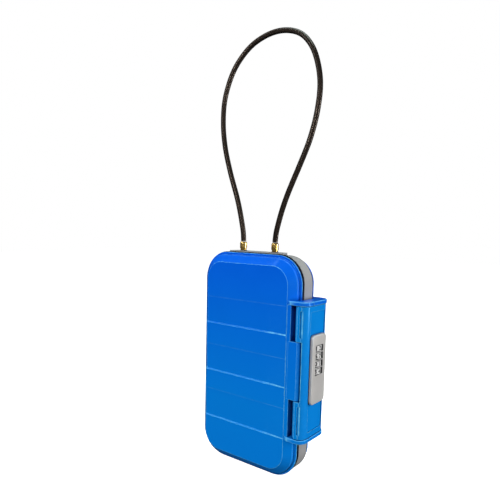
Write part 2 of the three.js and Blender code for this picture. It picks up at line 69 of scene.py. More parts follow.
seal_x, seal_y, seal_z = spans("rear_seal")
WIDTH = seal_x[1] - seal_x[0] + 2 * SEAL_INSET
HEIGHT = seal_z[1] + SEAL_INSET
SEAM_Y = seal_y[1] + SEAM_GAP
LATCH_X = spans("latch_housing")[0][1]
LATCH_Y = spans("latch_housing")[1][1]
LATCH_Z = spans("latch_housing")[2]
LIP_X = spans("rear_cover")[0][1]
LIP_Y = spans("rear_cover")[1][1]
PLATE_X = spans("lock_plate")[0][1]
PLATE_WIDTH = 2 * spans("lock_plate")[1][1]
PLATE_Z = spans("lock_plate")[2]
SPINDLE_X = sum(spans("dial_spindle")[0]) / 2
PIVOT_X = sum(spans("latch_hinge_pin")[0]) / 2
PIVOT_Y = sum(spans("latch_hinge_pin")[1]) / 2
HINGE_X = sum(spans("case_hinge_pin")[0]) / 2
HINGE_Y = sum(spans("case_hinge_pin")[1]) / 2
DIAL_Z = [sum(spans(f"number_dial_{i}")[2]) / 2 for i in (1, 2, 3, 4)]
DIAL_HALF = (spans("number_dial_1")[2][1] - spans("number_dial_1")[2][0]) / 2
FERRULE_X = sum(spans("release_ferrule")[0]) / 2
FERRULE_Z = spans("release_ferrule")[2]

# ---- driving dimensions of the visible shapes, in millimetres ----
PAST = 1  # how far a tool runs past what it cuts or joins
HAIR = 0.03  # keeps one face off the plane of another

# the two blue halves
CORNER = 22.9
FACE_Y = 17.15
FACE_ROUND = 6.0
FACE_FOOT_R = 1.6
BODY_INSET = 2.2
FLANGE = 1.5
FLANGE_EDGE = 0.35
FLANGE_FILLET = 0.6
WALL = 2.0
FRONT_RIM_Y = 8.6
REAR_LIP_INSET = 1.8
BANDS = [(36.6, 60.9), (77.9, 100.5), (119.3, 141.7)]
BAND_DEPTH = 0.7
BAND_TOP_SHARE = 0.15
BAND_END = 40.5
BAND_RAMP = 0.35

# the grey frame and the seals
FRAME_INSET = 1.3
FRAME_WALL = 3.5
HOOP_INSET = 0.6
HOOP_Y = (-5.6, 7.2)
HOOP_EDGE = 0.3
THROUGH_HOOP = (-10, 10)
PAD_X = (-27, 25)
PAD_HALF_Y = 5.6
PAD_TOP = 181.3
PAD_EDGE = 0.4
FERRULE_BORE_R = 2.0
FERRULE_BORE_Z = (HEIGHT - 10, HEIGHT + 5)
SEAL_WALL = 2.4
SEAL_GAP = 0.05
BEAD_RISE = 0.35
REAR_BEAD_INSET = 0.75
REAR_BEAD_Y = (HOOP_Y[1] + HAIR, SEAM_Y - 0.02)
REAR_BEAD_EDGE = 0.05

# the case hinge
FRAME_KNUCKLES = [(38, 56), (81, 99), (124, 142)]
COVER_KNUCKLES = [(56.5, 80.5), (99.5, 123.5)]
KNUCKLE_R = 2.2
KNUCKLE_EDGE = 0.3
KNUCKLE_ARM_Y = (HINGE_Y - 1.2, HINGE_Y + 2.1)
HINGE_ARM_EDGE = 0.2
FRAME_BORE_R = 1.0
COVER_BORE_R = 1.1
HINGE_BORE_Z = (30, 150)

# the lips, shoulder, ledge and tab beside the latch
LIPS = [(36, 39.2), (143.1, 146.3)]
LIP_R = 7.0
LIP_REAR_R = 8.8
LIP_EDGE = 0.45
LIP_FOOT_X = 44
LIP_FOOT_Y = SEAM_Y + 1.6
LIP_HEEL_X = 40.4
LIP_HEEL_Y = FACE_Y - 0.9
LIP_TURN_X = 45.5
LIP_SIDE_GAP = 0.4
FRONT_LIP_END_Y = SEAM_Y + 0.1
REAR_LIP_START_Y = 0.2 - SEAM_Y
BAY_Z = (LIPS[0][1] - 0.1, LIPS[1][0] + 0.1)
BAY_FLOOR = 1.5
SHOULDER_START_X = 41.3
SHOULDER_X = 44.9
SHOULDER_SPARE = 0.7
LEDGE_START_X = 43
LEDGE_X = 49.9
LEDGE_DEPTH = 3.5
LEDGE_EDGE = 0.3
TAB_Z = (69.3, 115.2)
TAB_ROOT = 2
TAB_EDGE = 0.25
TAB_BORE_R = 1.4
PIVOT_R = 2.9

# the latch
LATCH_R = 6.2
LATCH_REAR_R = 8.0
LATCH_WALL = 1.8
LATCH_EDGE = 0.4
LATCH_MOUTH_X = 50.4
MOUTH_PAST = 4
CLEAR_OF_LATCH = (45, -20)
TAB_GAP = 0.4
TAB_ROOM = 4.0
CHEEK = (3.6, 1.5)
CHEEK_EDGE = 0.3
GROOVE_X = (53.4, 56.0)
GROOVE_DEPTH = 0.8
GROOVE_END = 3.4
GROOVE_EDGE = 0.2
LATCH_BORE_R = 1.3
LATCH_BORE_Z = (40.8, 141.6)
PANEL_WIDTH = 20.6
PANEL_MARGIN = 9
PANEL_CORNER = 1.2
PANEL_DEPTH = 0.5
WORKS_X = (54, 60)
WORKS_HALF_Y = 6.8
DIAL_ROOM_Z = (DIAL_Z[0] - 3.85, DIAL_Z[-1] + 3.85)

# the lock plate
PLATE_SEAT_X = 58.1
PLATE_SEAT_GAP = 0.1
PLATE_CORNER = 3.3
PLATE_EDGE = 0.7
PLATE_SPARE = 0.4
PLATE_BACK_X = (57, 59.6)
PLATE_BACK_HALF_Y = 4.8
WINDOW_WIDTH = 11.2
WINDOW_HEIGHT = 5.4
WINDOW_CORNER = 0.5
THROUGH_PLATE = (57, 62)

# the dials
DIGITS = 10
SHOWN_DIGITS = (4, 1, 7, 2)
DIAL_R = 6.3
DIAL_BORE_R = 3.1
DIAL_BORE_HALF = 3
DIAL_EDGE = 0.2
NOTCH_DEPTH = 0.55
FLAT_TURN = 0.22
DIGIT_SIZE = 4.5
DIGIT_DEPTH = 0.03
DIGIT_BOLD = 0.18

# the cable
CABLE_R = 2.2
CABLE_START_Z = 189.2
STRANDS = 7
STRAND_R = 0.56
STRAND_RING = 1.1
STRAND_PITCH = 15.0

# ---- camera: the view is fixed to the case, in millimetres and degrees ----
CAMERA_AT = (248.07, -331.8, 201.14)
CAMERA_AZIMUTH = 37.743
CAMERA_ELEVATION = 6.128
CAMERA_ROLL = 1.37
CAMERA_LENS = 35.868
CAMERA_SHIFT = (0.0006, 0.0613)


def make_camera():
    data = bpy.data.cameras.new("camera")
    data.lens = CAMERA_LENS
    data.sensor_width = 36
    data.shift_x, data.shift_y = CAMERA_SHIFT
    data.clip_start = 0.01
    azimuth = math.radians(CAMERA_AZIMUTH)
    elevation = math.radians(CAMERA_ELEVATION)
    roll = math.radians(CAMERA_ROLL)
    flat = math.cos(elevation)
    back = Vector((math.sin(azimuth) * flat, -math.cos(azimuth) * flat, math.sin(elevation)))
    right = Vector((math.cos(azimuth), math.sin(azimuth), 0))
    up = back.cross(right)
    side = math.cos(roll) * right + math.sin(roll) * up
    top = math.cos(roll) * up - math.sin(roll) * right
    turn = Matrix((side, top, back)).transposed().to_4x4()
    camera = bpy.data.objects.new("camera", data)
    camera.matrix_world = Matrix.Translation(TO_FRAME @ Vector(CAMERA_AT)) @ turn
    bpy.context.scene.collection.objects.link(camera)
    bpy.context.scene.camera = camera


# ---- procedural materials: reach and depth are in millimetres ----
NOISE_MIDDLE = (0.3, 0.7)
CREASE_REACH = 5.0
CREASE_OPENNESS = (0.25, 0.8)
GLINT_WEAR_OPENNESS = (0.8, 0.97)
GLINT_WEAR_PATCHES = 0.3
EDGE_GAIN = 40.0
FOOT_LIGHT_HEIGHT = (0.3, 1.0)
GRAIN_DEPTH = 0.05
CLOUD_SCALE = 38.0
PATCH_SCALE = 260.0


class Nodes:
    """A material's node tree, with short calls to add and link nodes."""

    def __init__(self, name):
        self.material = bpy.data.materials.new(name)
        self.material.use_nodes = True
        self.tree = self.material.node_tree
        self.shader = self.tree.nodes["Principled BSDF"]

    def add(self, kind, **inputs):
        node = self.tree.nodes.new(kind)
        for key, value in inputs.items():
            node.inputs[key.replace("_", " ")].default_value = value
        return node

    def link(self, source, target):
        self.tree.links.new(source, target)

    def noise(self, scale, detail=4.0, stretch=(1, 1, 1)):
        """Noise in the object's own metres, as a 0-to-1 value."""
        place = self.add("ShaderNodeTexCoord")
        mapping = self.add("ShaderNodeMapping", Scale=stretch)
        noise = self.add("ShaderNodeTexNoise", Scale=scale, Detail=detail)
        self.link(place.outputs["Object"], mapping.inputs["Vector"])
        self.link(mapping.outputs["Vector"], noise.inputs["Vector"])
        return noise.outputs["Fac"]

    def spread(self, value, low, high):
        """Maps the middle of a noise onto low to high."""
        node = self.add("ShaderNodeMapRange")
        node.inputs["From Min"].default_value = NOISE_MIDDLE[0]
        node.inputs["From Max"].default_value = NOISE_MIDDLE[1]
        node.inputs["To Min"].default_value = low
        node.inputs["To Max"].default_value = high
        self.link(value, node.inputs["Value"])
        return node.outputs["Result"]

    def mix(self, factor, first, second):
        """Mixes two colours; each is a colour or a node's output."""
        node = self.add("ShaderNodeMix")
        node.data_type = "RGBA"
        self.link(factor, node.inputs["Factor"])
        for value, socket in ((first, node.inputs["A"]), (second, node.inputs["B"])):
            if isinstance(value, tuple):
                socket.default_value = (*value, 1)
            else:
                self.link(value, socket)
        return node.outputs["Result"]

    def math(self, operation, first, second):
        node = self.add("ShaderNodeMath")
        node.operation = operation
        for i, value in enumerate((first, second)):
            if isinstance(value, (int, float)):
                node.inputs[i].default_value = value
            else:
                self.link(value, node.inputs[i])
        return node.outputs["Value"]

    def ramp(self, value, start, end):
        """0 at the start value and 1 at the end value, held at 0 and 1 beyond them."""
        node = self.add("ShaderNodeMapRange")
        node.inputs["From Min"].default_value = start
        node.inputs["From Max"].default_value = end
        self.link(value, node.inputs["Value"])
        return node.outputs["Result"]

    def height(self):
        """0 under the case and 1 at its top."""
        place = self.add("ShaderNodeTexCoord")
        split = self.add("ShaderNodeSeparateXYZ")
        self.link(place.outputs["Object"], split.inputs["Vector"])
        return self.ramp(split.outputs["Z"], 0.0, HEIGHT * MM)

    def openness(self):
        """1 on open faces, towards 0 inside slots, seams and corners; it masks the painted crease
        shade.
        """
        shade = self.add("ShaderNodeAmbientOcclusion", Distance=CREASE_REACH * MM)
        shade.samples = 8
        return shade.outputs["AO"]

    def edges(self, radius):
        """1 along convex and concave edges, 0 on open faces, with the softened normal; it masks the
        painted edge highlights and wear.
        """
        bevel = self.add("ShaderNodeBevel", Radius=radius)
        bevel.samples = 4
        geometry = self.add("ShaderNodeNewGeometry")
        dot = self.add("ShaderNodeVectorMath")
        dot.operation = "DOT_PRODUCT"
        self.link(bevel.outputs["Normal"], dot.inputs[0])
        self.link(geometry.outputs["True Normal"], dot.inputs[1])
        away = self.math("SUBTRACT", 1.0, dot.outputs["Value"])
        sharp = self.math("MULTIPLY", away, EDGE_GAIN)
        return self.math("MINIMUM", sharp, 1.0), bevel.outputs["Normal"]


def finish_of(name, color, tint, glint_wear_color, roughness, metallic=0.0, grain=900.0, bump=0.02,
              stretch=(1, 1, 1), glint_wear=0.5, soften=0.3, specular=0.5, gloss=(1, 1, 1),
              foot_light_color=None, crease_shade=None):
    """A moulded, cast or turned finish: clouded colour, fine grain and lighter edges, which are
    painted highlights and wear.

    Towards the foot of the case the colour may be painted lighter, as painted light, and in creases
    it may be painted darker, as painted shade.
    """
    nodes = Nodes(name)
    shader = nodes.shader
    clouds = nodes.spread(nodes.noise(CLOUD_SCALE, 5.0), 0.0, 1.0)
    body = nodes.mix(clouds, color, tint)
    # Painted light: the foot of the case is painted a lighter, greener blue, standing in for how the
    # light falls there.
    if foot_light_color:
        body = nodes.mix(nodes.ramp(nodes.height(), *FOOT_LIGHT_HEIGHT), foot_light_color, body)
    # Painted highlight and wear: edges are painted a lighter colour in patches, standing in for edge
    # highlights as well as rubbed wear.
    mask, normal = nodes.edges(soften * MM)
    patches = nodes.spread(nodes.noise(PATCH_SCALE, 6.0), GLINT_WEAR_PATCHES * glint_wear, glint_wear)
    edge = nodes.math("MULTIPLY", mask, patches)
    # Painted shade: by ambient occlusion, the colour is darkened towards the crease colour in slots,
    # seams and corners.
    if crease_shade:
        openness = nodes.openness()
        edge = nodes.math("MULTIPLY", edge, nodes.ramp(openness, *GLINT_WEAR_OPENNESS))
        body = nodes.mix(nodes.ramp(openness, *CREASE_OPENNESS), crease_shade, body)
    nodes.link(nodes.mix(edge, body, glint_wear_color), shader.inputs["Base Color"])
    fine = nodes.noise(grain, 3.0, stretch)
    gloss_map = nodes.spread(nodes.noise(grain / 6, 5.0, stretch), *roughness)
    nodes.link(gloss_map, shader.inputs["Roughness"])
    relief = nodes.add("ShaderNodeBump", Strength=bump, Distance=GRAIN_DEPTH * MM)
    nodes.link(fine, relief.inputs["Height"])
    nodes.link(normal, relief.inputs["Normal"])
    nodes.link(relief.outputs["Normal"], shader.inputs["Normal"])
    shader.inputs["Metallic"].default_value = metallic
    shader.inputs["Specular IOR Level"].default_value = specular
    shader.inputs["Specular Tint"].default_value = (*gloss, 1)
    return nodes.material


def jacket_material():
    """Smoky clear vinyl over the strands: it hides more where it is seen through edge on."""
    nodes = Nodes("smoky_vinyl")
    shader = nodes.shader
    facing = nodes.add("ShaderNodeLayerWeight", Blend=0.5)
    haze = nodes.add("ShaderNodeMapRange")
    haze.inputs["From Min"].default_value = 0.0
    haze.inputs["From Max"].default_value = 0.5
    haze.inputs["To Min"].default_value = 0.55
    haze.inputs["To Max"].default_value = 1.0
    nodes.link(facing.outputs["Facing"], haze.inputs["Value"])
    nodes.link(haze.outputs["Result"], shader.inputs["Alpha"])
    smoke = nodes.spread(nodes.noise(60.0, 4.0), 0.0, 1.0)
    nodes.link(nodes.mix(smoke, (0.010, 0.008, 0.007), (0.020, 0.015, 0.012)),
               shader.inputs["Base Color"])
    nodes.link(nodes.spread(nodes.noise(300.0, 5.0), 0.14, 0.3), shader.inputs["Roughness"])
    shader.inputs["Specular IOR Level"].default_value = 0.22
    shader.inputs["Specular Tint"].default_value = (1.0, 0.78, 0.62, 1)
    relief = nodes.add("ShaderNodeBump", Strength=0.05, Distance=GRAIN_DEPTH * MM)
    nodes.link(nodes.noise(900.0, 3.0), relief.inputs["Height"])
    nodes.link(relief.outputs["Normal"], shader.inputs["Normal"])
    return nodes.material


def make_materials():
    """Every finish, by the short name that the pieces ask for."""
    # The navy is painted shade for the blue's creases, seams and slots.
    crease_shade_navy = (0.0004, 0.012, 0.14)
    cyan = (0.10, 0.72, 1.0)
    # Lighter cyan painted on edges: painted edge highlights as well as wear.
    glint_wear_blue = (0.22, 0.78, 1.0)
    return {
        "blue": finish_of("blue_abs", (0.0010, 0.108, 0.74), (0.0014, 0.116, 0.77), glint_wear_blue,
                          (0.15, 0.2), bump=0.012, glint_wear=1.0, soften=0.6, specular=0.32, gloss=cyan,
                          foot_light_color=(0.0012, 0.215, 0.76), crease_shade=crease_shade_navy),
        # Painted light: a lighter copy of the same blue plastic for the latch, whose side is more
        # brightly lit.
        "lit_latch_blue": finish_of("blue_abs_latch_lit", (0.0012, 0.225, 0.72), (0.0016, 0.24, 0.75),
                                glint_wear_blue, (0.15, 0.2), bump=0.012, glint_wear=1.0, soften=0.6,
                                specular=0.32, gloss=cyan, crease_shade=crease_shade_navy),
        "grey": finish_of("grey_abs", (0.30, 0.30, 0.302), (0.33, 0.33, 0.332), (0.5, 0.5, 0.5),
                          (0.5, 0.65), grain=1400.0, bump=0.12, specular=0.3,
                          crease_shade=(0.03, 0.035, 0.05)),
        "rubber": finish_of("black_rubber", (0.002, 0.004, 0.012), (0.004, 0.006, 0.018),
                            (0.02, 0.02, 0.03), (0.75, 0.9), grain=1600.0, bump=0.15,
                            specular=0.1),
        "black": finish_of("black_acetal", (0.016, 0.016, 0.018), (0.024, 0.024, 0.026),
                           (0.05, 0.05, 0.052), (0.45, 0.6), grain=1200.0, bump=0.1),
        "satin": finish_of("satin_zinc", (0.53, 0.515, 0.50), (0.59, 0.575, 0.56),
                           (0.95, 0.96, 0.98), (0.36, 0.5), metallic=0.35, grain=700.0,
                           bump=0.08, stretch=(1, 1, 0.06), glint_wear=0.9,
                           crease_shade=(0.004, 0.004, 0.005)),
        "dial": finish_of("dial_zinc", (0.80, 0.79, 0.78), (0.90, 0.89, 0.88),
                          (1.0, 1.0, 1.0), (0.3, 0.42), metallic=0.2, grain=900.0,
                          bump=0.08, stretch=(1, 1, 0.1), glint_wear=0.9,
                          crease_shade=(0.30, 0.30, 0.30)),
        "ink": finish_of("digit_ink", (0.004, 0.004, 0.004), (0.006, 0.006, 0.006),
                         (0.01, 0.01, 0.01), (0.6, 0.8), grain=1500.0, bump=0.1, specular=0.1),
        "brass": finish_of("turned_brass", (0.86, 0.56, 0.14), (0.94, 0.66, 0.20),
                           (1.0, 0.85, 0.45), (0.16, 0.26), metallic=0.9, grain=500.0,
                           bump=0.1, stretch=(1, 1, 9), glint_wear=0.7, crease_shade=(0.03, 0.015, 0.004)),
        "steel": finish_of("zinc_plated_steel", (0.52, 0.52, 0.53), (0.60, 0.60, 0.62),
                           (0.80, 0.80, 0.80), (0.25, 0.42), metallic=1.0, grain=600.0,
                           bump=0.08, glint_wear=0.6),
        "strand": finish_of("dark_strand", (0.085, 0.062, 0.050), (0.14, 0.10, 0.08),
                            (0.34, 0.28, 0.23), (0.3, 0.5), metallic=0.7, grain=600.0,
                            bump=0.1, soften=0.1),
        "jacket": jacket_material(),
    }


# ---- mesh helpers: everything is drawn in millimetres ----
def object_from(name, mesh):
    piece = bpy.data.objects.new(name, mesh)
    bpy.context.scene.collection.objects.link(piece)
    return piece


def solid(name, points, faces):
    """A closed mesh with its faces pointing out."""
    bm = bmesh.new()
    corners = [bm.verts.new(p) for p in points]
    for face in faces:
        bm.faces.new([corners[i] for i in face])
    bmesh.ops.recalc_face_normals(bm, faces=bm.faces)
    mesh = bpy.data.meshes.new(name)
    bm.to_mesh(mesh)
    bm.free()
    return object_from(name, mesh)


def arc(x, y, radius, start, end, steps=12):
    """Points on an arc, with its angles in degrees."""
    angles = [math.radians(start + (end - start) * i / steps) for i in range(steps + 1)]
    return [(x + radius * math.cos(a), y + radius * math.sin(a)) for a in angles]


def rounded_rect(width, height, radius, x=0.0, y=0.0, steps=10):
    half_x, half_y = width / 2 - radius, height / 2 - radius
    points = []
    for turn, (side_x, side_y) in enumerate([(1, -1), (1, 1), (-1, 1), (-1, -1)]):
        start = turn * 90 - 90
        points += arc(x + side_x * half_x, y + side_y * half_y, radius, start, start + 90, steps)
    return points


PUSH = {
    "x": lambda a, b, depth: (depth, a, b),
    "z": lambda a, b, depth: (a, b, depth),
}


def prism(outline, axis, span, bevel=0.0, segments=3, limit=25):
    """Pushes an outline along x or z; edges sharper than the limit are rounded."""
    count = len(outline)
    push = PUSH[axis]
    points = [push(a, b, depth) for depth in span for a, b in outline]
    sides = [(i, (i + 1) % count, (i + 1) % count + count, i + count) for i in range(count)]
    caps = [tuple(range(count)), tuple(range(count, 2 * count))]
    piece = solid("prism", points, sides + caps)
    if bevel:
        round_edges(piece.data, bevel, segments, limit)
    return piece


def round_edges(mesh, width, segments=3, limit=25):
    bm = bmesh.new()
    bm.from_mesh(mesh)
    bend = math.radians(limit)
    sharp = [edge for edge in bm.edges if edge.calc_face_angle(0) > bend]
    bmesh.ops.bevel(bm, geom=sharp, offset=width, segments=segments, profile=0.5,
                    affect="EDGES", clamp_overlap=True)
    bm.to_mesh(mesh)
    bm.free()


def block(x, y, z, bevel=0.0):
    corners = [(x[0], y[0]), (x[1], y[0]), (x[1], y[1]), (x[0], y[1])]
    return prism(corners, "z", z, bevel)


def rod(x, y, radius, z, bevel=0.0, steps=32):
    return prism(arc(x, y, radius, 0, 360, steps)[:-1], "z", z, bevel)


def combine(base, operation, *tools):
    """Joins tools to the base or cuts them out of it, and removes them."""
    for tool in tools:
        step = base.modifiers.new("combine", "BOOLEAN")
        step.operation = operation
        step.solver = "EXACT"
        step.object = tool
        bpy.context.view_layer.update()
        depsgraph = bpy.context.evaluated_depsgraph_get()
        made = bpy.data.meshes.new_from_object(base.evaluated_get(depsgraph))
        base.modifiers.clear()
        base.data = made
        bpy.data.objects.remove(tool)


def join(base, *tools):
    combine(base, "UNION", *tools)


def cut(base, *tools):
    combine(base, "DIFFERENCE", *tools)


def settle(piece, name, material, body, slot, *nodes, smooth=30):
    """Turns a finished shape into a piece of the frame: its place, finish and body, and it hides the
    CAD nodes that it replaces.
    """
    piece.name = name
    piece.data.name = name
    piece.data.transform(TO_FRAME)
    piece.data.materials.clear()
    piece.data.materials.append(material)
    for face in piece.data.polygons:
        face.use_smooth = True
        face.material_index = 0
    piece.data.set_sharp_from_angle(angle=math.radians(smooth))
    weights = piece.modifiers.new("even_shading", "WEIGHTED_NORMAL")
    weights.keep_sharp = True
    weights.weight = 80
    if nodes:
        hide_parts(*nodes)
    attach(piece, body)
    return piece


# ---- the cable: a smoky jacket over twisted strands ----
CABLE_ROUTE = [
    (-16.3, 0, CABLE_START_Z), (-16.4, 0, 191.5), (-17.1, 0.1, 197.5), (-18.9, 0.3, 205.2),
    (-21.8, 0.5, 216), (-25.5, 0.9, 226.8), (-30, 1.4, 237.6), (-34.5, 2.1, 248.4),
    (-42.4, 4.1, 270), (-47.4, 6.8, 291.6), (-48.7, 10.3, 313.2), (-44, 14.5, 334.8),
    (-36.5, 17.2, 347.4), (-26.8, 19.4, 356.4), (-15, 20.7, 361.4), (-2.8, 21, 362.9),
    (9.2, 20.7, 361.2), (21.4, 19.4, 355.9), (31.6, 17.1, 346.6), (39.6, 14.3, 334.2),
    (46.6, 10.3, 313.2), (47.3, 6.8, 291.6), (43.4, 4.1, 270), (35.3, 2.1, 248.4),
    (30.6, 1.4, 237.6), (26, 0.9, 226.8), (22.1, 0.5, 216), (18.9, 0.3, 205.2),
    (17.1, 0.1, 197.5), (16.4, 0, 191.5), (16.3, 0, CABLE_START_Z),
]


def smooth_line(points, steps=9):
    """A centripetal Catmull-Rom curve through the points."""
    ends = [points[0] * 2 - points[1], *points, points[-1] * 2 - points[-2]]
    line = []
    for a, b, c, d in zip(ends, ends[1:], ends[2:], ends[3:]):
        times = [0.0]
        for first, second in ((a, b), (b, c), (c, d)):
            times.append(times[-1] + math.sqrt((second - first).length))
        for i in range(steps):
            t = times[1] + (times[2] - times[1]) * i / steps
            level = [a, b, c, d]
            for reach in (1, 2, 3):
                level = [
                    level[k].lerp(level[k + 1], (t - low) / (high - low))
                    for k, (low, high) in enumerate(spans_of(times, reach))
                ]
            line.append(level[0])
    return [*line, points[-1].copy()]


def spans_of(times, reach):
    """The knot spans that each level of the Catmull-Rom pyramid blends over."""
    if reach == 1:
        return [(times[0], times[1]), (times[1], times[2]), (times[2], times[3])]
    if reach == 2:
        return [(times[0], times[2]), (times[1], times[3])]
    return [(times[1], times[2])]


def frames_along(line):
    """A normal and side vector at each point, carried along without twist."""
    normal = Vector((0, 1, 0))
    frames = []
    for i in range(len(line)):
        tangent = (line[min(i + 1, len(line) - 1)] - line[max(i - 1, 0)]).normalized()
        normal = (normal - tangent * normal.dot(tangent)).normalized()
        frames.append((normal.copy(), tangent.cross(normal)))
    return frames


def tube(name, line, radius, sides, offset=0.0, phase=0.0, pitch=1.0):
    """A closed tube along a line; with an offset it winds round the line once per pitch."""
    points = []
    travelled = 0.0
    for i, (centre, (normal, side)) in enumerate(zip(line, frames_along(line))):
        travelled += (centre - line[max(i - 1, 0)]).length
        turn = phase + 2 * math.pi * travelled / pitch
        middle = centre + offset * (math.cos(turn) * normal + math.sin(turn) * side)
        for k in range(sides):
            angle = 2 * math.pi * k / sides
            points.append(middle + radius * (math.cos(angle) * normal + math.sin(angle) * side))
    faces = []
    for i in range(len(line) - 1):
        for k in range(sides):
            near, far = i * sides + k, i * sides + (k + 1) % sides
            faces.append((near, far, far + sides, near + sides))
    last = (len(line) - 1) * sides
    faces += [tuple(range(sides)), tuple(range(last, last + sides))]
    return solid(name, points, faces)


def make_cable(finishes):
    route = [Vector(p) for p in CABLE_ROUTE]
    line = smooth_line(route)
    fine = smooth_line(route, steps=16)
    for i in range(STRANDS):
        phase = 2 * math.pi * i / STRANDS
        wire = tube("strand", fine, STRAND_R, 8, STRAND_RING, phase, STRAND_PITCH)
        name = f"cable_strand_{i + 1}"
        settle(wire, name, finishes["strand"], "case", "coated_cable", smooth=60)
    jacket = tube("jacket", line, CABLE_R, 28)
    jacket = settle(jacket, "cable_jacket", finishes["jacket"], "case", "coated_cable", "steel_cable",
                    smooth=60)


# ---- case outlines: rings that share their points, so that they can be lofted ----
ARC_STEPS = 16
TOP_STEPS = 8
PLAIN_LEVELS = 20
BAND_NEAR = 0.17
BAND_FAR = 0.8
BAND_CLEAR = 1.5


def side_levels():
    """Heights along the straight sides, closer together at the bands' edges."""
    low, high = CORNER, HEIGHT - CORNER
    edges = [edge for band in BANDS for edge in band]
    shifts = (-BAND_FAR, -BAND_RAMP, -BAND_NEAR, BAND_NEAR, BAND_RAMP, BAND_FAR)
    near = [edge + shift for edge in edges for shift in shifts]
    plain = [low + (high - low) * i / PLAIN_LEVELS for i in range(PLAIN_LEVELS + 1)]
    open_levels = [z for z in plain if all(abs(z - edge) > BAND_CLEAR for edge in edges)]
    return sorted({round(z, 4) for z in [low, high, *near, *open_levels]})


LEVELS = side_levels()
COLUMNS = [(CORNER - WIDTH / 2) + (WIDTH - 2 * CORNER) * i / TOP_STEPS for i in range(TOP_STEPS + 1)]


def right_chain(inset):
    """The right half of a case outline, from the bottom up, as (x, z)."""
    x = WIDTH / 2 - CORNER
    radius = CORNER - inset
    low = arc(x, CORNER, radius, -90, 0, ARC_STEPS)
    high = arc(x, HEIGHT - CORNER, radius, 0, 90, ARC_STEPS)
    side = [(x + radius, z) for z in LEVELS[1:-1]]
    return low + side + high


def ring_points(inset, y):
    right = right_chain(inset)
    left = [(-x, z) for x, z in reversed(right)]
    top = [(x, HEIGHT - inset) for x in reversed(COLUMNS[1:-1])]
    bottom = [(x, inset) for x in COLUMNS[1:-1]]
    return [(x, y, z) for x, z in right + top + left + bottom]


def loft(name, profile, closed):
    """A solid through rings of (inset, y); an open profile is capped by its end rings."""
    rings = [ring_points(inset, y) for inset, y in profile]
    count = len(rings[0])
    points = [p for ring in rings for p in ring]
    faces = []
    pairs = len(rings) if closed else len(rings) - 1
    for i in range(pairs):
        a, b = i * count, (i + 1) % len(rings) * count
        faces += [(a + k, a + (k + 1) % count, b + (k + 1) % count, b + k) for k in range(count)]
    if not closed:
        for start in (0, (len(rings) - 1) * count):
            add_cap(points, faces, start, count)
    return solid(name, points, faces)


def add_cap(points, faces, start, count):
    """Closes a ring by rows across the case, so that each row keeps one height."""
    chain = 2 * ARC_STEPS + len(LEVELS)
    inner = TOP_STEPS - 1
    y = points[start][1]
    rows = []
    for i in range(chain):
        right = start + i
        left = start + 2 * chain + inner - 1 - i
        if i == 0:
            middle = [start + count - inner + k for k in range(inner)]
        elif i == chain - 1:
            middle = [start + chain + inner - 1 - k for k in range(inner)]
        else:
            middle = list(range(len(points), len(points) + len(COLUMNS)))
            points += [(x, y, points[right][2]) for x in COLUMNS]
        rows.append([left, *middle, right])
    for low, high in zip(rows, rows[1:]):
        fill_row(faces, low, high)


def fill_row(faces, low, high):
    """Quads between two rows; an end row lacks the columns over its corners."""
    if len(low) < len(high):
        faces.append((low[0], high[1], high[0]))
        faces.append((low[-1], high[-1], high[-2]))
        high = high[1:-1]
    elif len(high) < len(low):
        faces.append((low[0], low[1], high[0]))
        faces.append((low[-2], low[-1], high[-1]))
        low = low[1:-1]
    faces += [(low[k], low[k + 1], high[k + 1], high[k]) for k in range(len(low) - 1)]


def rounding(inset, y, radius, start, end, steps):
    """(inset, distance from the seam plane) along an arc of the shell's section."""
    return [(inset - dx, dy) for dx, dy in arc(0, y, radius, start, end, steps)]


def shell_profile(seam, lip):
    """The section of a shell, from its inner face over the rim to its outer face."""
    inner = FACE_ROUND - WALL
    face = BODY_INSET + FACE_ROUND
    centre = FACE_Y - FACE_ROUND
    flange = SEAM_Y + FLANGE
    edge, fillet, chamfer, margin = FLANGE_EDGE, FLANGE_FILLET, 0.3, 0.5
    inside = [(face, FACE_Y - WALL), (face - inner, centre), (face - inner, seam + chamfer)]
    rim = [(face - inner - chamfer, seam), (lip + edge, seam)]
    rim += rounding(lip + edge, seam + edge, edge, -45, 0, 2)
    step = rounding(lip + edge, flange - edge, edge, 0, 90, 3)
    corner = [(BODY_INSET - fillet + dx, flange + fillet - dy)
              for dx, dy in arc(0, 0, fillet, 90, 0, 4)]
    outside = rounding(BODY_INSET + FACE_FOOT_R, centre, FACE_FOOT_R, 0, 45, 6)
    flat = [(face, FACE_Y), (face + margin, FACE_Y)]
    return [(face + margin, FACE_Y - WALL), *inside, *rim, *step, *corner, *outside, *flat]


def band_depth(z):
    """How far the face is sunk at a height: 1 at a band's foot, a trace at its head, 0 between."""
    for low, high in BANDS:
        if low - BAND_RAMP < z < high + BAND_RAMP:
            up = min(1.0, (z - low + BAND_RAMP) / (2 * BAND_RAMP))
            down = min(1.0, (high + BAND_RAMP - z) / (2 * BAND_RAMP))
            share = (z - low) / (high - low)
            return min(up, down) * (1 - share * (1 - BAND_TOP_SHARE))
    return 0.0


def shell(side, seam, lip=0.0):
    """One blue half: a tray with a flange, a chamfer round its face and sunk bands."""
    profile = [(inset, side * y) for inset, y in shell_profile(seam, lip)]
    piece = loft("shell", profile, closed=False)
    for corner in piece.data.vertices:
        x, y, z = corner.co
        depth = FACE_Y - BAND_DEPTH * band_depth(z)
        if x < BAND_END and abs(y) > depth:
            corner.co.y = side * depth
    return piece


